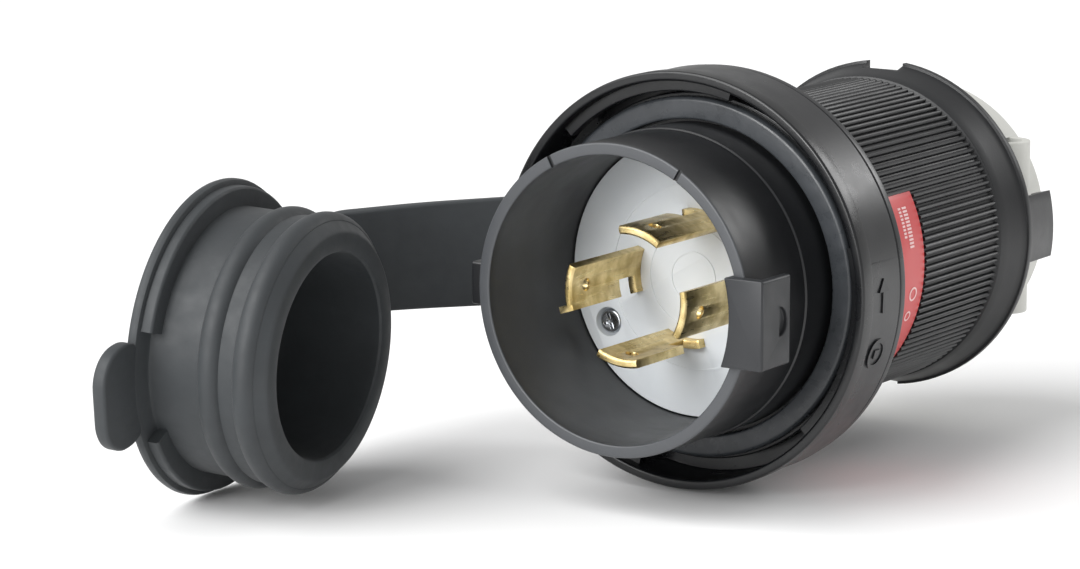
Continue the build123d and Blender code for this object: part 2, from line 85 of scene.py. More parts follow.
def rounded(corners, pieces=5):
    # (radius, station, corner radius) corners to a closed outline with round corners
    points = []
    for i, (r, s, corner) in enumerate(corners):
        here = Vector((r, s))
        before = (Vector(corners[i - 1][:2]) - here).normalized()
        after = (Vector(corners[(i + 1) % len(corners)][:2]) - here).normalized()
        opening = before.angle(after, math.pi)
        if corner <= 0 or opening > math.radians(179):
            points.append(tuple(here))
            continue
        reach = corner / math.tan(opening / 2)
        middle = here + (before + after).normalized() * (corner / math.sin(opening / 2))
        first = here + before * reach - middle
        turn = first.angle_signed(here + after * reach - middle)
        for k in range(pieces + 1):
            points.append(tuple(middle + Matrix.Rotation(-turn * k / pieces, 2) @ first))
    return points


def newPiece(name, mesh, smoothAngle=32):
    # a mesh in metres in the shared frame, smooth apart from its real edges
    mesh.shade_smooth()
    mesh.set_sharp_from_angle(angle=math.radians(smoothAngle))
    piece = bpy.data.objects.new(name, mesh)
    bpy.context.scene.collection.objects.link(piece)
    return piece


def meshFrom(name, work):
    bmesh.ops.recalc_face_normals(work, faces=work.faces)
    mesh = bpy.data.meshes.new(name)
    work.to_mesh(mesh)
    work.free()
    return mesh


plugAxis = Matrix(((1, 0, 0, 0), (0, 0, 1, 0), (0, 1, 0, 0), (0, 0, 0, 1)))  # across, up, along


def lathe(work, profile, place=plugAxis, steps=192, fromAngle=0, toAngle=360):
    # turns a closed (radius, station) outline in millimetres about the third axis of place
    whole = toAngle - fromAngle >= 360
    count = steps if whole else steps + 1
    rings = []
    for r, s in profile:
        if r < merge["distance"]:
            rings.append([work.verts.new((place @ Vector((0, 0, s))) * mm)] * count)
            continue
        ring = []
        for k in range(count):
            a = math.radians(fromAngle + (toAngle - fromAngle) * k / steps)
            ring.append(work.verts.new((place @ Vector((r * math.cos(a), r * math.sin(a), s))) * mm))
        rings.append(ring)
    for i, ring in enumerate(rings):
        following = rings[(i + 1) % len(rings)]
        for k in range(count if whole else count - 1):
            corners = [ring[k], ring[(k + 1) % count], following[(k + 1) % count], following[k]]
            corners = [v for j, v in enumerate(corners) if v not in corners[:j]]
            if len(corners) > 2:
                work.faces.new(corners)
    if not whole:
        work.faces.new([ring[0] for ring in rings])
        work.faces.new([ring[-1] for ring in rings])


def prism(work, outline, low, high, place, soft=0.0, pieces=3):
    # a flat outline raised between two levels of place, with its rims softened
    bottom = [work.verts.new((place @ Vector((x, y, low))) * mm) for x, y in outline]
    top = [work.verts.new((place @ Vector((x, y, high))) * mm) for x, y in outline]
    faces = [work.faces.new(bottom), work.faces.new(top)]
    for i in range(len(outline)):
        j = (i + 1) % len(outline)
        faces.append(work.faces.new((bottom[i], bottom[j], top[j], top[i])))
    if soft:
        rims = list(faces[0].edges) + list(faces[1].edges)
        bmesh.ops.recalc_face_normals(work, faces=faces)
        bmesh.ops.bevel(work, geom=rims, offset=soft * mm, segments=pieces, profile=0.5, affect="EDGES")


def roundedPlate(halfX, halfY, corner, middleX=0.0, middleY=0.0, pieces=8):
    points = []
    for signX, signY, start in ((1, 1, 0), (-1, 1, 90), (-1, -1, 180), (1, -1, 270)):
        for k in range(pieces + 1):
            a = math.radians(start + 90 * k / pieces)
            points.append((
                middleX + signX * (halfX - corner) + corner * math.cos(a),
                middleY + signY * (halfY - corner) + corner * math.sin(a),
            ))
    return points


def softened(node, name, width):
    # a copy of a rigid CAD node with its moulded or stamped edges broken by a small radius
    work = bmesh.new()
    work.from_mesh(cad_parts[node].data)
    bmesh.ops.remove_doubles(work, verts=work.verts, dist=merge["distance"])
    bmesh.ops.dissolve_limit(work, angle_limit=math.radians(merge["flatDegrees"]),
                             verts=work.verts, edges=work.edges)
    limit = math.radians(merge["edgeDegrees"])
    sharp = [e for e in work.edges if e.is_manifold and e.calc_face_angle(0) > limit]
    bmesh.ops.bevel(work, geom=sharp, offset=width * mm, segments=merge["bevelSteps"], profile=0.5,
                    affect="EDGES", clamp_overlap=True)
    mesh = bpy.data.meshes.new(name)
    work.to_mesh(mesh)
    work.free()
    mesh.materials.clear()
    return newPiece(name, mesh, merge["smoothDegrees"])


def dress(piece, material):
    piece.data.materials.clear()
    piece.data.materials.append(material)
    return piece


def polymer(name, look):
    # moulded plastics and rubbers: slow colour drift, uneven gloss, fine mould grain
    material = bpy.data.materials.new(name)
    material.use_nodes = True
    tree = material.node_tree
    shader = tree.nodes["Principled BSDF"]
    shader.inputs["IOR"].default_value = look["ior"]
    shader.inputs["Sheen Weight"].default_value = look.get("sheen", 0.0)
    shader.inputs["Subsurface Weight"].default_value = look.get("scatter", 0.0)
    shader.inputs["Subsurface Radius"].default_value = skin["scatterReach"]
    coords = addNode(tree, "ShaderNodeTexCoord")
    drift = addNode(tree, "ShaderNodeTexNoise", {"Scale": 1000 / look["driftMm"], "Detail": 3.0},
                    {"Vector": coords.outputs["Object"]})
    colour = addNode(tree, "ShaderNodeMix", {"data_type": "RGBA", 6: linear(look["deep"]),
                                             7: linear(look["light"])},
                     {0: drift.outputs["Fac"]})
    finalColour = colour.outputs[2]
    gloss = addNode(tree, "ShaderNodeTexNoise", {"Scale": 1000 / look["glossMm"], "Detail": 4.0},
                    {"Vector": coords.outputs["Object"]})
    rough = addNode(tree, "ShaderNodeMapRange", {
        "From Min": skin["noiseSpan"][0], "From Max": skin["noiseSpan"][1],
        "To Min": look["rough"][0], "To Max": look["rough"][1]},
        {"Value": gloss.outputs["Fac"]})
    grain = addNode(tree, "ShaderNodeTexNoise", {"Scale": 1000 / look["grainMm"], "Detail": 2.0},
                    {"Vector": coords.outputs["Object"]})
    bump = addNode(tree, "ShaderNodeBump", {"Strength": look["grainDepth"], "Distance": skin["grainRise"]},
                   {"Height": grain.outputs["Fac"]})
    if "band" in look:
        # everything ahead of this station along the plug takes the second colour
        axes = addNode(tree, "ShaderNodeSeparateXYZ", None, {"Vector": coords.outputs["Object"]})
        inBand = addNode(tree, "ShaderNodeMath", {"operation": "LESS_THAN", 1: look["band"] * mm},
                         {0: axes.outputs["Y"]})
        banded = addNode(tree, "ShaderNodeMix", {"data_type": "RGBA", 7: linear(look["bandColour"])},
                         {0: inBand.outputs[0], 6: finalColour})
        finalColour = banded.outputs[2]
    tree.links.new(finalColour, shader.inputs["Base Color"])
    tree.links.new(rough.outputs["Result"], shader.inputs["Roughness"])
    tree.links.new(bump.outputs["Normal"], shader.inputs["Normal"])
    return material


def metal(name, look):
    # stamped or plated metal: tarnish patches and faint rolling lines along the part
    material = bpy.data.materials.new(name)
    material.use_nodes = True
    tree = material.node_tree
    shader = tree.nodes["Principled BSDF"]
    shader.inputs["Metallic"].default_value = 1.0
    coords = addNode(tree, "ShaderNodeTexCoord")
    patches = addNode(tree, "ShaderNodeTexNoise", {"Scale": 1000 / look["patchMm"], "Detail": 5.0},
                      {"Vector": coords.outputs["Object"]})
    spread = addNode(tree, "ShaderNodeMapRange", {
        "From Min": skin["patchSpan"][0], "From Max": skin["patchSpan"][1]},
        {"Value": patches.outputs["Fac"]})
    colour = addNode(tree, "ShaderNodeMix", {"data_type": "RGBA", 6: linear(look["deep"]),
                                             7: linear(look["light"])},
                     {0: spread.outputs["Result"]})
    squeeze = addNode(tree, "ShaderNodeMapping", {"Scale": (1.0, look["stretch"], 1.0)},
                      {"Vector": coords.outputs["Object"]})
    lines = addNode(tree, "ShaderNodeTexNoise", {"Scale": 1000 / look["lineMm"], "Detail": 3.0},
                    {"Vector": squeeze.outputs["Vector"]})
    rough = addNode(tree, "ShaderNodeMapRange", {
        "From Min": skin["noiseSpan"][0], "From Max": skin["noiseSpan"][1],
        "To Min": look["rough"][0], "To Max": look["rough"][1]},
        {"Value": lines.outputs["Fac"]})
    bump = addNode(tree, "ShaderNodeBump", {"Strength": look["depth"], "Distance": skin["lineRise"]},
                   {"Height": lines.outputs["Fac"]})
    tree.links.new(colour.outputs[2], shader.inputs["Base Color"])
    tree.links.new(rough.outputs["Result"], shader.inputs["Roughness"])
    tree.links.new(bump.outputs["Normal"], shader.inputs["Normal"])
    return material


# Injection-moulded black nylon: satin skin, grain near 0.4 mm drawn at 0.5 so that it shows
mouldedNylon = polymer("mouldedBlackNylon", {
    "deep": "#141517", "light": "#1b1c1e", "driftMm": 14, "glossMm": 6, "rough": (0.34, 0.44),
    "grainMm": 0.5, "grainDepth": 0.10, "ior": 1.53,
})
# The same nylon on the shroud: the paler band on its mouth face is a painted highlight, the light that the
# glossy rim face reflects
shroudNylonRimHighlight = polymer("mouldedShroudNylonRimHighlight", {
    "deep": "#141517", "light": "#1b1c1e", "driftMm": 14, "glossMm": 6, "rough": (0.32, 0.42),
    "grainMm": 0.5, "grainDepth": 0.08, "ior": 1.53, "band": 0.25, "bandColour": "#424447",
})
# The same nylon on the coupling ring: glossier, with a darker front lip
ringNylon = polymer("mouldedRingNylon", {
    "deep": "#141517", "light": "#1b1c1f", "driftMm": 14, "glossMm": 7, "rough": (0.25, 0.36),
    "grainMm": 0.5, "grainDepth": 0.08, "ior": 1.53, "band": 25.9, "bandColour": "#101113",
})
# Catch of the same nylon: a touch greyer
catchNylon = polymer("mouldedCatchNylon", {
    "deep": "#1c1d20", "light": "#26282b", "driftMm": 9, "glossMm": 4, "rough": (0.38, 0.48),
    "grainMm": 0.5, "grainDepth": 0.08, "ior": 1.53,
})
# Natural nylon contact face: milky and slightly see-through, with a soft sheen
whiteNylon = polymer("mouldedWhiteNylon", {
    "deep": "#d3d8dc", "light": "#e2e6e9", "driftMm": 12, "glossMm": 5, "rough": (0.34, 0.44),
    "grainMm": 0.8, "grainDepth": 0.05, "ior": 1.53, "scatter": 0.15,
})
# Warm white nylon of the rear clamp: a little chalkier
clampNylon = polymer("mouldedClampNylon", {
    "deep": "#cecec8", "light": "#dadad4", "driftMm": 12, "glossMm": 5, "rough": (0.42, 0.52),
    "grainMm": 0.8, "grainDepth": 0.05, "ior": 1.53,
})
# Compression-moulded rubber of the cap and strap: dull, dusty, nearly no highlight
mouldedRubber = polymer("mouldedCapRubber", {
    "deep": "#25282a", "light": "#323639", "driftMm": 11, "glossMm": 3, "rough": (0.52, 0.66),
    "grainMm": 0.6, "grainDepth": 0.16, "ior": 1.50, "sheen": 0.06,
})
# Gasket rubber: smoother from its polished mould, so it takes streaky highlights
gasketRubber = polymer("mouldedGasketRubber", {
    "deep": "#303336", "light": "#44474b", "driftMm": 5, "glossMm": 2.5, "rough": (0.22, 0.40),
    "grainMm": 1.2, "grainDepth": 0.25, "ior": 1.50,
})
# Printed polyester label: flat coral red under a thin satin film
printedPolyester = polymer("printedRedPolyester", {
    "deep": "#c9403f", "light": "#d64a4c", "driftMm": 16, "glossMm": 6, "rough": (0.34, 0.42),
    "grainMm": 1.0, "grainDepth": 0.03, "ior": 1.57,
})
# White ink on the label: takes a little of the red below it
labelInk = polymer("printedWhiteInk", {
    "deep": "#f3c9c8", "light": "#f8d6d4", "driftMm": 4, "glossMm": 3, "rough": (0.4, 0.5),
    "grainMm": 0.6, "grainDepth": 0.03, "ior": 1.5,
})
# Stamped brass strip: lightly tarnished in patches, rolling lines along the blade
stampedBrass = metal("stampedBrass", {
    "deep": "#bca56c", "light": "#ead59f", "patchMm": 3.0, "lineMm": 0.5, "stretch": 0.08,
    "rough": (0.24, 0.40), "depth": 0.25,
})
# Zinc-plated steel screws: bright and hard
platedSteel = metal("platedSteel", {
    "deep": "#a9acb0", "light": "#c9ccd0", "patchMm": 2.0, "lineMm": 0.4, "stretch": 1.0,
    "rough": (0.16, 0.28), "depth": 0.12,
})
print("materials ready")


rigidPieces = {
    # CAD node: piece name, body, edge radius in mm, material, slot
    "rim_catch": ("rimCatch", "plug", 0.22, catchNylon, "catch_nylon"),
    "contact_carrier": ("contactFace", "plug", 0.10, whiteNylon, "white_nylon"),
    "ground_blade": ("groundBlade", "plug", 0.16, stampedBrass, "blade_brass"),
    "neutral_blade": ("neutralBlade", "plug", 0.16, stampedBrass, "blade_brass"),
    "line_blade_a": ("lineBladeA", "plug", 0.16, stampedBrass, "blade_brass"),
    "line_blade_b": ("lineBladeB", "plug", 0.16, stampedBrass, "blade_brass"),
    "face_screws": ("faceScrews", "plug", 0.08, platedSteel, "screw_steel"),
    "grip_housing": ("gripHousing", "plug", 0.20, mouldedNylon, "black_nylon"),
    "rating_label": ("ratingLabel", "plug", 0.06, printedPolyester, "label_red"),
    "clamp_upper": ("clampUpper", "plug", 0.30, clampNylon, "clamp_nylon"),
    "clamp_lower": ("clampLower", "plug", 0.30, clampNylon, "clamp_nylon"),
    "clamp_screws": ("clampScrews", "plug", 0.08, platedSteel, "screw_steel"),
}
for node, (name, body, width, material, slotName) in rigidPieces.items():
    piece = dress(softened(node, name, width), material)
    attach(piece, body)
    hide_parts(node)

hiddenNodes = {
    "carrier_back": (whiteNylon, "inner_nylon"),
    "wire_terminals": (stampedBrass, "blade_brass"),
    "terminal_screws": (platedSteel, "screw_steel"),
    "clamp_nuts": (platedSteel, "screw_steel"),
}
for node, (material, slotName) in hiddenNodes.items():
    dress(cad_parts[node], material)
print("rigid pieces ready")


shroudSizes = {
    "bore": 25.8, "outer": 28.0, "lipRear": 2.2, "ridge": 19.4, "ridgeHeight": 0.3, "ridgeReach": 0.3,
    "flange": (29.4, 32.0, 33.6), "ledge": (24.0, 30.0), "steps": 240,
    "rimRadius": 0.35, "flangeEdge": 0.3, "ridgeEdge": 0.15, "fineEdge": 0.1,
    "nicks": (60, 118), "nickMiddle": 27.6, "nickReach": 6, "nickWidth": 0.8, "nickDepth": 0.5,
    "lug": (1.6, 8.6, 3.9, 30.7), "lugRoot": 26.6, "lugCorner": 0.5, "lugEdge": 0.35, "smoothDegrees": 32,
}
bore, outer = shroudSizes["bore"], shroudSizes["outer"]
rimRadius, fineEdge = shroudSizes["rimRadius"], shroudSizes["fineEdge"]
ridgeTop = outer + shroudSizes["ridgeHeight"]
flangeFront, flangeRear, flangeReach = shroudSizes["flange"]
ledgeRadius, ledgeFront = shroudSizes["ledge"]
work = bmesh.new()
lathe(work, rounded([
    (bore, 0, rimRadius), (outer, 0, rimRadius),
    (outer, shroudSizes["lipRear"], 0), (outer, shroudSizes["ridge"], fineEdge),
    (ridgeTop, shroudSizes["ridge"] + shroudSizes["ridgeReach"], shroudSizes["ridgeEdge"]),
    (ridgeTop, flangeFront, 0.0),
    (flangeReach, flangeFront, shroudSizes["flangeEdge"]),
    (flangeReach, flangeRear, shroudSizes["flangeEdge"]),
    (ledgeRadius, flangeRear, fineEdge), (ledgeRadius, ledgeFront, fineEdge),
    (bore, ledgeFront, 0.0), (bore, shroudSizes["lipRear"], 0),
]), plugAxis, shroudSizes["steps"])
tube = newPiece("shroudTube", meshFrom("shroudTube", work))


def cutAway(piece, place, sizes):
    # takes a small block out of a piece
    block = bmesh.new()
    bmesh.ops.create_cube(block, size=1, matrix=place @ Matrix.Diagonal((*sizes, 1)))
    cutter = newPiece("cutter", meshFrom("cutter", block))
    cut = piece.modifiers.new("cut", "BOOLEAN")
    cut.operation, cut.object, cut.solver = "DIFFERENCE", cutter, "EXACT"
    graph = bpy.context.evaluated_depsgraph_get()
    result = bpy.data.meshes.new_from_object(piece.evaluated_get(graph))
    piece.modifiers.remove(cut)
    piece.data = result
    bpy.data.objects.remove(cutter)


for turn in shroudSizes["nicks"]:
    a = math.radians(turn)
    spot = Matrix.Translation(Vector((math.cos(a), 0, math.sin(a))) * shroudSizes["nickMiddle"] * mm)
    cutAway(tube, spot @ Matrix.Rotation(-a, 4, "Y"),
            (shroudSizes["nickReach"] * mm, 2 * shroudSizes["nickDepth"] * mm, shroudSizes["nickWidth"] * mm))
lugFront, lugRear, lugHalf, lugReach = shroudSizes["lug"]
work = bmesh.new()
work.from_mesh(tube.data)
sideways = Matrix(((0, 0, 1, 0), (1, 0, 0, 0), (0, 1, 0, 0), (0, 0, 0, 1)))  # y, z, then x
prism(work, roundedPlate((lugRear - lugFront) / 2, lugHalf, shroudSizes["lugCorner"],
                         (lugFront + lugRear) / 2, 0),
      -lugReach, -shroudSizes["lugRoot"], sideways, shroudSizes["lugEdge"])
work.to_mesh(tube.data)
work.free()
tube.data.shade_smooth()
tube.data.set_sharp_from_angle(angle=math.radians(shroudSizes["smoothDegrees"]))
dress(tube, shroudNylonRimHighlight)
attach(tube, "plug")
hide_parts("shroud")
print("shroud ready")


ringSizes = {
    "bore": 36.3, "outer": 38.1, "front": 22.4, "band": (25.8, 36.0), "rear": 38.8, "lip": 34.6,
    "web": (32.3, 36.0), "neck": 29.7, "groove": 0.5, "steps": 288,
    "rimRadius": 0.5, "softEdge": 0.25, "bandEdge": 0.2, "fineEdge": 0.15,
    "rampTurns": (75, 195, 315), "rampSweep": 60, "rampSpan": (24.6, 26.6), "rampReach": 34.3,
    "rampRoot": 0.6, "rampSteps": 60,
}
bore, outer, groove = ringSizes["bore"], ringSizes["outer"], ringSizes["groove"]
front, rear, lip, neck = ringSizes["front"], ringSizes["rear"], ringSizes["lip"], ringSizes["neck"]
rimRadius, softEdge, fineEdge = ringSizes["rimRadius"], ringSizes["softEdge"], ringSizes["fineEdge"]
bandFront, bandRear = ringSizes["band"]
webFront, webRear = ringSizes["web"]
work = bmesh.new()
lathe(work, rounded([
    (bore, front, rimRadius), (outer, front, rimRadius), (outer, bandFront, fineEdge),
    (outer - groove, bandFront + groove / 2, fineEdge), (outer - groove / 2, bandRear, ringSizes["bandEdge"]),
    (outer - 2 * groove, bandRear + groove, fineEdge), (outer - groove, bandRear + 2 * groove, fineEdge),
    (outer - groove, rear, rimRadius), (lip, rear, softEdge), (lip, webRear, fineEdge),
    (neck, webRear, softEdge), (neck, webFront, softEdge), (bore, webFront, ringSizes["bandEdge"]),
]), plugAxis, ringSizes["steps"])
rampFront, rampRear = ringSizes["rampSpan"]
rampRoot = bore + ringSizes["rampRoot"]
for turn in ringSizes["rampTurns"]:
    lathe(work, rounded([
        (ringSizes["rampReach"], rampFront, softEdge), (rampRoot, rampFront, 0),
        (rampRoot, rampRear, 0), (ringSizes["rampReach"], rampRear, softEdge),
    ]), plugAxis, ringSizes["rampSteps"], turn, turn + ringSizes["rampSweep"])
couplingRing = dress(newPiece("couplingRing", meshFrom("couplingRing", work)), ringNylon)
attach(couplingRing, "ring")
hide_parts("coupling_ring")
print("coupling ring ready")


gripRibs = {
    "Rib Count": 132,
    "Root Radius": 28.55 * mm,
    "Rib Width": 1.02 * mm,
    "Rib Height": 0.85 * mm,
    "Front": 44.6 * mm,
    "Front Behind Label": 62.0 * mm,
    "Rear": 91.0 * mm,
    "Label Low": math.radians(-62.6),
    "Label High": math.radians(28.6),
}


def ribTree():
    tree = bpy.data.node_groups.new("gripRibTree", "GeometryNodeTree")
    tree.interface.new_socket("Geometry", in_out="OUTPUT", socket_type="NodeSocketGeometry")
    for label, value in gripRibs.items():
        kind = "NodeSocketInt" if isinstance(value, int) else "NodeSocketFloat"
        tree.interface.new_socket(label, in_out="INPUT", socket_type=kind)
    tree.interface.new_socket("Material", in_out="INPUT", socket_type="NodeSocketMaterial")
    sizes = addNode(tree, "NodeGroupInput").outputs

    def calc(operation, *values):
        node = addNode(tree, "ShaderNodeMath", {"operation": operation})
        for i, value in enumerate(values):
            if isinstance(value, (int, float)):
                node.inputs[i].default_value = value
            else:
                tree.links.new(value, node.inputs[i])
        return node.outputs[0]

    index = addNode(tree, "GeometryNodeInputIndex").outputs[0]
    share = calc("DIVIDE", calc("ADD", index, 0.5), sizes["Rib Count"])
    angle = calc("MULTIPLY", calc("SUBTRACT", share, 0.5), tau)  # from -180 to 180 degrees
    behind = calc("MULTIPLY", calc("GREATER_THAN", angle, sizes["Label Low"]),
                  calc("LESS_THAN", angle, sizes["Label High"]))
    setBack = calc("MULTIPLY", behind, calc("SUBTRACT", sizes["Front Behind Label"], sizes["Front"]))
    front = calc("ADD", sizes["Front"], setBack)
    length = calc("SUBTRACT", sizes["Rear"], front)
    middle = calc("MULTIPLY", calc("ADD", sizes["Rear"], front), 0.5)
    place = addNode(tree, "ShaderNodeCombineXYZ", None, {
        0: calc("MULTIPLY", sizes["Root Radius"], calc("COSINE", angle)),
        1: middle,
        2: calc("MULTIPLY", sizes["Root Radius"], calc("SINE", angle)),
    })
    spots = addNode(tree, "GeometryNodePoints", None,
                    {"Count": sizes["Rib Count"], "Position": place.outputs[0]})
    bar = addNode(tree, "GeometryNodeMeshCylinder", {"Vertices": 14, "Radius": 1.0, "Depth": 1.0})
    alongAxis = addNode(tree, "GeometryNodeTransform", {"Rotation": (math.pi / 2, 0, 0)},
                        {"Geometry": bar.outputs["Mesh"]})
    turn = addNode(tree, "ShaderNodeCombineXYZ", None, {1: calc("MULTIPLY", angle, -1.0)})
    size = addNode(tree, "ShaderNodeCombineXYZ", None, {
        0: sizes["Rib Height"],
        1: length,
        2: calc("MULTIPLY", sizes["Rib Width"], 0.5),
    })
    ribs = addNode(tree, "GeometryNodeInstanceOnPoints", None, {
        "Points": spots.outputs[0], "Instance": alongAxis.outputs[0],
        "Rotation": turn.outputs[0], "Scale": size.outputs[0],
    })
    solid = addNode(tree, "GeometryNodeRealizeInstances", None, {0: ribs.outputs[0]})
    painted = addNode(tree, "GeometryNodeSetMaterial", None,
                      {"Geometry": solid.outputs[0], "Material": sizes["Material"]})
    addNode(tree, "NodeGroupOutput", None, {0: painted.outputs[0]})
    return tree


def fromTree(name, tree, values, material):
    # runs a tree once and keeps its result as a plain mesh
    holder = bpy.data.objects.new(name + "Source", bpy.data.meshes.new(name + "Source"))
    bpy.context.scene.collection.objects.link(holder)
    modifier = holder.modifiers.new(name, "NODES")
    modifier.node_group = tree
    for item in tree.interface.items_tree:
        if item.in_out == "INPUT":
            modifier[item.identifier] = material if item.name == "Material" else values[item.name]
    graph = bpy.context.evaluated_depsgraph_get()
    mesh = bpy.data.meshes.new_from_object(holder.evaluated_get(graph))
    holder.modifiers.remove(modifier)
    bpy.data.objects.remove(holder)
    mesh.materials.clear()
    return newPiece(name, mesh, merge["smoothDegrees"])


ribs = dress(fromTree("gripRibs", ribTree(), gripRibs, mouldedNylon), mouldedNylon)
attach(ribs, "plug")
print("grip ribs ready:", len(ribs.data.polygons), "faces")


sealProfiles = {
    # (radius, station, corner radius) corners
    "gasket": [(28.9, 27.2, 0.5), (33.0, 27.2, 0.9), (33.0, 29.4, 0.3), (28.9, 29.4, 0.3)],
    "housing_seal": [(26.6, 32.0, 0.2), (28.2, 32.0, 0.2), (28.2, 33.6, 0.2), (26.6, 33.6, 0.2)],
    "cord_grommet": [(8.2, 101.5, 0.4), (14.2, 101.5, 0.4), (14.2, 104.0, 0.2), (12.4, 104.0, 0.1),
                     (12.4, 118.6, 0.1), (14.2, 118.6, 0.2), (14.2, 120.0, 0.7), (8.2, 120.0, 0.9)],
}
for node, name in (("gasket", "flangeGasket"), ("housing_seal", "housingSeal"),
                   ("cord_grommet", "cordGrommet")):
    work = bmesh.new()
    lathe(work, rounded(sealProfiles[node]))
    piece = dress(newPiece(name, meshFrom(name, work)), gasketRubber)
    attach(piece, "plug")
    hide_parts(node)

strapRing = {
    "bore": 28.4, "outer": 30.2, "front": 39.8, "rear": 44.2, "corner": 0.6, "fineEdge": 0.1,
    "padX": (-30.1, -27.6), "padHalf": 10.22, "padMiddle": -0.98, "padStation": 42.0, "padReach": 2.2,
    "padEdge": 0.3,
}
bore, outer, corner = strapRing["bore"], strapRing["outer"], strapRing["corner"]
work = bmesh.new()
lathe(work, rounded([
    (bore, strapRing["front"], strapRing["fineEdge"]), (outer, strapRing["front"], corner),
    (outer, strapRing["rear"], corner), (bore, strapRing["rear"], strapRing["fineEdge"]),
]))
padPlace = Matrix(((0, 0, 1, 0), (1, 0, 0, strapRing["padStation"]), (0, 1, 0, 0), (0, 0, 0, 1)))
prism(work, roundedPlate(strapRing["padReach"], strapRing["padHalf"], corner, 0, strapRing["padMiddle"]),
      *strapRing["padX"], padPlace, strapRing["padEdge"])
piece = dress(newPiece("strapRing", meshFrom("strapRing", work)), mouldedRubber)
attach(piece, "plug")
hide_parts("strap_ring")
print("seals ready")


cap = {
    "centre": (-70.0, -24.2, -9.8), "yaw": 7.0, "pitch": -3.5, "roll": 9.7,
    "flange": 28.8, "step": 27.7, "stepRear": 4.2, "cutHalf": 22.0,
    "bung": 24.2, "rib": 25.45, "ribHalf": 2.4, "ribs": (14.0, 21.0), "front": 25.0,
    "chamfer": 2.2, "cup": 18.6, "floor": 3.6, "steps": 224,
    "stepFront": 1.6, "stepRoot": 23.7, "stepEdge": 0.6, "stepSteps": 200, "ribSteps": 12,
    "tabReach": 38.0, "tabWidth": 19.0, "tabLow": -0.8, "tabHigh": 1.9, "tabCorner": 6.4, "tabEdge": 0.6,
    # offsets from the flange's edge, the flange's rear, the nose and the cup's mouth, each with its station
    "flangeRim": ((-0.7, 0), (-0.2, 0.2), (0, 0.7), (0, 1.3), (-0.2, 1.8), (-0.7, 2.0)),
    "bungRoot": ((0.8, 2.0), (0.25, 2.25), (0, 2.8)), "chamferStart": (-0.1, 0.3),
    "noseEdge": ((0.75, -0.55), (0.45, -0.2), (0, 0)),
    "cupMouth": ((1.0, 0), (0.35, -0.2), (0.05, -0.6), (0, -1.2)),
    "cupFoot": ((-0.15, 5.6), (-0.6, 4.3), (-1.8, 3.65)),
}
capNose = Matrix.Rotation(math.radians(-cap["pitch"]), 3, "Y") @ Vector((1, 0, 0))
capNose = Matrix.Rotation(math.radians(cap["yaw"]), 3, "Z") @ capNose
capAcross = Matrix.Rotation(math.radians(cap["yaw"]), 3, "Z") @ Vector((0, 1, 0))
capAcross = Matrix.Rotation(math.radians(cap["roll"]), 3, capNose) @ capAcross
capSide = capNose.cross(capAcross)
capPlace = Matrix.Translation(cap["centre"]) @ Matrix((capAcross, capSide, capNose)).transposed().to_4x4()


def ribArc(middle):
    # a rounded rib on the bung, from the body's radius up and back
    drop = cap["ribHalf"] - (cap["rib"] - cap["bung"])
    half = math.acos(drop / cap["ribHalf"])
    turns = [half - 2 * half * k / cap["ribSteps"] for k in range(cap["ribSteps"] + 1)]
    return [(cap["rib"] - cap["ribHalf"] + cap["ribHalf"] * math.cos(a),
             middle - cap["ribHalf"] * math.sin(a)) for a in turns]


work = bmesh.new()
bung, front, cup = cap["bung"], cap["front"], cap["cup"]
nose = bung - cap["chamfer"]
chamferRise, chamferStation = cap["chamferStart"]
capBody = [(0, 0)]
capBody += [(cap["flange"] + rise, station) for rise, station in cap["flangeRim"]]
capBody += [(bung + rise, station) for rise, station in cap["bungRoot"]]
for station in cap["ribs"]:
    capBody += ribArc(station)
capBody.append((bung + chamferRise, front - cap["chamfer"] + chamferStation))
capBody += [(nose + rise, front + station) for rise, station in cap["noseEdge"]]
capBody += [(cup + rise, front + station) for rise, station in cap["cupMouth"]]
capBody += [(cup + rise, station) for rise, station in cap["cupFoot"]]
capBody.append((0, cap["floor"]))
lathe(work, capBody, capPlace, cap["steps"])
lathe(work, rounded([
    (cap["stepRoot"], cap["stepFront"], 0.0), (cap["step"], cap["stepFront"], 0.0),
    (cap["step"], cap["stepRear"], cap["stepEdge"]), (cap["stepRoot"], cap["stepRear"], 0.0),
]), capPlace, cap["stepSteps"], cap["cutHalf"] - 180, 180 - cap["cutHalf"])
tabHalf = (cap["tabReach"] - bung) / 2
tabMiddle = -(cap["tabReach"] + bung) / 2
prism(work, roundedPlate(tabHalf, cap["tabWidth"] / 2, cap["tabCorner"], tabMiddle, 0, 12),
      cap["tabLow"], cap["tabHigh"], capPlace, cap["tabEdge"])
piece = dress(newPiece("closureCap", meshFrom("closureCap", work)), mouldedRubber)
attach(piece, "cap")
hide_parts("closure_cap")
print("cap ready")


strap = {
    "high": 9.25, "low": -11.2, "thickness": 2.6, "edge": 0.55,
    "root": (-32.71, 42.0, 0.0), "rootAxis": (-0.0682, 0.0178, 0.9975), "swing": 46.69,
    "start": (-28.9, 42.0, 0.0), "shortLeg": 8.99, "far": (-73.603433, 19.550768, -2.395571),
    "tongueEnd": 26.0, "middleOfTongue": 1.3, "bends": (2.3, 5.1, 2.6), "bow": 0.8, "step": 0.6,
    "bendSamples": 12, "rootReach": 2.4, "farReach": 2.8,
}
rootAxis = Vector(strap["rootAxis"]).normalized()
rootSpot = Vector(strap["root"])
farSpot = Vector(strap["far"])
openX = Matrix.Rotation(math.radians(-strap["swing"]), 3, rootAxis) @ Vector((1, 0, 0))
cornerSpot = rootSpot - openX * strap["shortLeg"]
tongueSpot = capPlace @ Vector((strap["tongueEnd"], 0, strap["middleOfTongue"]))
knots = [Vector(strap["start"]), rootSpot, cornerSpot, farSpot, tongueSpot]


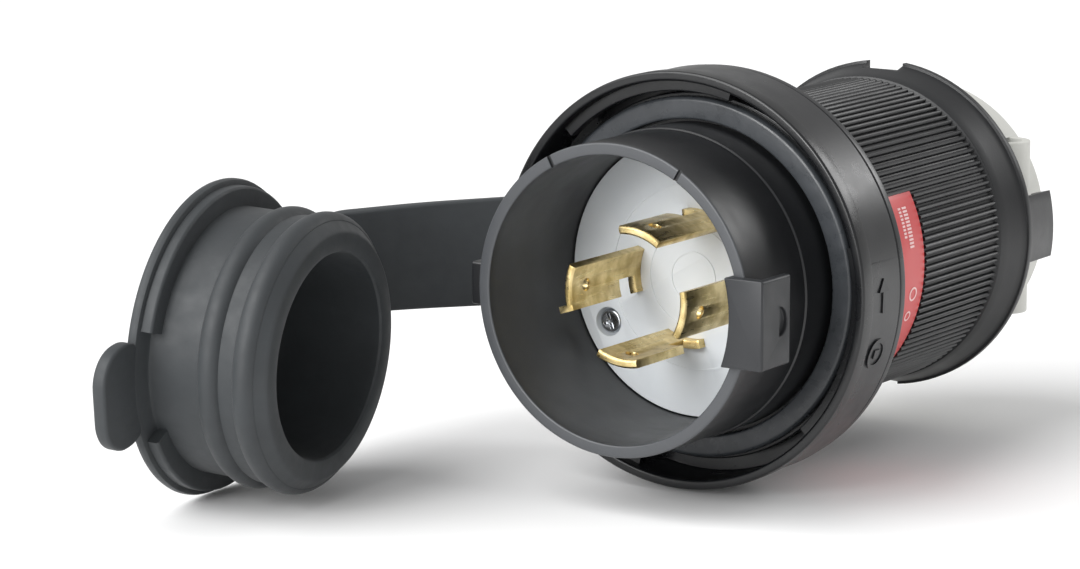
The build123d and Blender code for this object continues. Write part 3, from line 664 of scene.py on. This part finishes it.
def roundedPath(corners, reaches, pieces=14):
    # straight legs joined by smooth bends that start a reach before each corner
    points = [corners[0].copy()]
    for i, reach in enumerate(reaches, 1):
        here = corners[i]
        first = here + (corners[i - 1] - here).normalized() * reach
        last = here + (corners[i + 1] - here).normalized() * reach
        for k in range(pieces + 1):
            t = k / pieces
            points.append(first * (1 - t) ** 2 + here * 2 * t * (1 - t) + last * t ** 2)
    points.append(corners[-1].copy())
    spaced = [points[0]]
    for a, b in zip(points, points[1:]):
        count = max(1, math.ceil((b - a).length / strap["step"]))
        spaced += [a.lerp(b, k / count) for k in range(1, count + 1)]
    return spaced


path = roundedPath(knots, strap["bends"])
longStart = min(range(len(path)), key=lambda i: (path[i] - cornerSpot).length) + strap["bendSamples"]
longEnd = min(range(len(path)), key=lambda i: (path[i] - farSpot).length)
seam = (longStart + longEnd) // 2


def strapSections():
    sections = []
    last = len(path) - 1
    for i, point in enumerate(path):
        along = (path[min(i + 1, last)] - path[max(i - 1, 0)]).normalized()
        t = min(1, max(0, (i - longStart) / (longEnd - longStart)))
        twist = t * t * (3 - 2 * t)
        across = rootAxis.lerp(capSide, twist)
        across = (across - along * across.dot(along)).normalized()
        through = along.cross(across)
        middle = point + through * strap["bow"] * math.sin(math.pi * t) ** 2
        ring = []
        for x, y in roundedPlate((strap["high"] - strap["low"]) / 2, strap["thickness"] / 2, strap["edge"],
                                 (strap["high"] + strap["low"]) / 2, 0, 4):
            ring.append((middle + across * x + through * y) * mm)
        sections.append(ring)
    return sections


sections = strapSections()


def band(name, rings):
    # closed skin through a run of the strap's sections
    work = bmesh.new()
    made = [[work.verts.new(p) for p in ring] for ring in rings]
    for a, b in zip(made, made[1:]):
        for k in range(len(a)):
            j = (k + 1) % len(a)
            work.faces.new((a[k], a[j], b[j], b[k]))
    work.faces.new(made[0])
    work.faces.new(made[-1])
    return dress(newPiece(name, meshFrom(name, work)), mouldedRubber)


nearBand = band("strapNear", sections[:seam + 1])
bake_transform(nearBand)
farBand = band("strapFar", sections[seam:])
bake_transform(farBand)
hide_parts("cap_strap")
print("strap ready")


def onCylinder(work, outline, marks, turn, shift=0.0, height=None):
    # lays a flat (along, across) outline in mm on the outside of the plug at an angle
    height = marks["height"] if height is None else height

    def place(x, y, r):
        a = math.radians(turn) + y / marks["radius"]
        return Vector((r * math.cos(a), marks["station"] + shift + x, r * math.sin(a))) * mm
    low = [work.verts.new(place(x, y, marks["radius"] - marks["sunk"])) for x, y in outline]
    high = [work.verts.new(place(x, y, marks["radius"] + height)) for x, y in outline]
    work.faces.new(low)
    work.faces.new(high)
    for i in range(len(outline)):
        j = (i + 1) % len(outline)
        work.faces.new((low[i], low[j], high[j], high[i]))


def oblong(first, last, half):
    return [(first, -half), (last, -half), (last, half), (first, half)]


def hoop(work, inner, outer, marks, turn, shift=0.0, pieces=28):
    # an open ring mark, made of short blocks
    for k in range(pieces):
        a, b = tau * k / pieces, tau * (k + 1) / pieces
        onCylinder(work, [
            (inner * math.cos(a), inner * math.sin(a)), (outer * math.cos(a), outer * math.sin(a)),
            (outer * math.cos(b), outer * math.sin(b)), (inner * math.cos(b), inner * math.sin(b)),
        ], marks, turn, shift)


ringMarks = {
    "radius": 37.72, "height": 0.24, "sunk": 0.15, "station": 30.2,
    "hoop": (2.1, 2.9), "hoopTurn": -16, "pipHalf": 0.8,
    "seam": (-4.0, 5.6, 0.09), "seamTurn": 9.5, "seamHeight": 0.1,
    "arrow": ((-0.45, -3.2), (0.45, -3.2), (0.45, 0.6), (1.7, 0.6), (0.0, 3.0), (-1.7, 0.6), (-0.45, 0.6)),
    "arrowTurn": 0.5,
}
pipHalf = ringMarks["pipHalf"]
work = bmesh.new()
hoop(work, *ringMarks["hoop"], ringMarks, ringMarks["hoopTurn"])
onCylinder(work, oblong(-pipHalf, pipHalf, pipHalf), ringMarks, ringMarks["hoopTurn"])
onCylinder(work, oblong(*ringMarks["seam"]), ringMarks, ringMarks["seamTurn"], 0.0, ringMarks["seamHeight"])
onCylinder(work, ringMarks["arrow"], ringMarks, ringMarks["arrowTurn"])
piece = dress(newPiece("ringMarks", meshFrom("ringMarks", work)), ringNylon)
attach(piece, "ring")

labelMarks = {
    "radius": 29.12, "height": 0.05, "sunk": 0.15, "station": 57.2,
    # rows of bars: shift along the plug, number of bars, half length
    "rows": ((0.0, 12, 0.75), (-1.8, 9, 0.45)), "barHalf": 0.2, "barTurn": 22.5, "barPitch": 1.3,
    # hoops: inner and outer radius, turn, shift along the plug
    "hoops": ((1.0, 1.35, -9.5, 0.8), (0.7, 1.0, -18, 0.6)),
}
work = bmesh.new()
for shift, bars, reach in labelMarks["rows"]:
    for k in range(bars):
        onCylinder(work, oblong(shift - reach, shift + reach, labelMarks["barHalf"]), labelMarks,
                   labelMarks["barTurn"] - labelMarks["barPitch"] * k)
for inner, outer, turn, shift in labelMarks["hoops"]:
    hoop(work, inner, outer, labelMarks, turn, shift)
piece = dress(newPiece("labelMarks", meshFrom("labelMarks", work)), labelInk)
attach(piece, "plug")

faceMarks = {"radii": (4.6, 9.2, 17.0), "halfWidth": 0.22, "height": 0.14, "face": 27.7, "sunk": 0.2,
             "draft": 0.05}
footLevel, topLevel = faceMarks["face"] + faceMarks["sunk"], faceMarks["face"] - faceMarks["height"]
work = bmesh.new()
for radius in faceMarks["radii"]:
    low, high = radius - faceMarks["halfWidth"], radius + faceMarks["halfWidth"]
    lathe(work, [(low, footLevel), (low + faceMarks["draft"], topLevel),
                 (high - faceMarks["draft"], topLevel), (high, footLevel)])
piece = dress(newPiece("faceMarks", meshFrom("faceMarks", work)), whiteNylon)
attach(piece, "plug")
print("marks ready")


studio = {
    "world": 0.50, "floorColour": "#f8f8f8", "floorSize": 12.0, "floorDrop": 0.0004,
    "floorRough": 0.9, "floorSpecular": 0.1, "aim": (-0.02, 0.03, 0),
    "sun": ((-0.42, -0.58, 0.74), 55, 2.6),
    "back": ((0.40, 0.80, 0.44), 0.34, 1.7), "front": ((-0.10, -0.95, 0.32), 0.5, 7.0),
}
floorLevel = cadBox[0].z - studio["floorDrop"]
floorMesh = bpy.data.meshes.new("floor")
half = studio["floorSize"] / 2
floorMesh.from_pydata([(x * half, y * half, floorLevel) for x, y in ((-1, -1), (1, -1), (1, 1), (-1, 1))],
                      [], [(0, 1, 2, 3)])
floor = bpy.data.objects.new("floor", floorMesh)
bpy.context.scene.collection.objects.link(floor)
# Matt seamless studio paper: no visible grain at this distance
floorPaper = bpy.data.materials.new("paleStudioPaper")
floorPaper.use_nodes = True
paperShader = floorPaper.node_tree.nodes["Principled BSDF"]
paperShader.inputs["Base Color"].default_value = linear(studio["floorColour"])
paperShader.inputs["Roughness"].default_value = studio["floorRough"]
paperShader.inputs["Specular IOR Level"].default_value = studio["floorSpecular"]
floor.data.materials.append(floorPaper)

world = bpy.data.worlds.new("studioWorld")
world.use_nodes = True
world.node_tree.nodes["Background"].inputs["Color"].default_value = (1, 1, 1, 1)
world.node_tree.nodes["Background"].inputs["Strength"].default_value = studio["world"]
bpy.context.scene.world = world


def stand(name, data, spot, away):
    # puts a lamp or the camera at a spot, turned to look against the direction away
    thing = bpy.data.objects.new(name, data)
    thing.location = spot
    thing.rotation_mode = "QUATERNION"
    thing.rotation_quaternion = (-away).to_track_quat("-Z", "Y")
    bpy.context.scene.collection.objects.link(thing)
    return thing


sunFrom, sunSpread, sunPower = studio["sun"]
sun = bpy.data.lights.new("softSun", "SUN")
sun.angle, sun.energy = math.radians(sunSpread), sunPower
stand("softSun", sun, sunFrom, Vector(sunFrom))
for lampName in ("back", "front"):
    spot, size, power = studio[lampName]
    lamp = bpy.data.lights.new(lampName + "Light", "AREA")
    lamp.shape, lamp.size, lamp.energy = "SQUARE", size, power
    stand(lampName + "Light", lamp, spot, Vector(spot) - Vector(studio["aim"]))

view = {"place": (0.3693, -0.5804, 0.1305), "azimuth": 33.5, "elevation": 10.5, "lens": 133.3,
        "sensor": 36.0, "clip": (0.05, 20.0)}
camera = bpy.data.cameras.new("camera")
camera.lens, camera.sensor_width = view["lens"], view["sensor"]
camera.clip_start, camera.clip_end = view["clip"]
azimuth, elevation = math.radians(view["azimuth"]), math.radians(view["elevation"])
lookBack = Vector((math.sin(azimuth) * math.cos(elevation), -math.cos(azimuth) * math.cos(elevation),
                   math.sin(elevation)))
bpy.context.scene.camera = stand("camera", camera, view["place"], lookBack)
bpy.context.scene.view_settings.view_transform = "Standard"
print("studio ready")
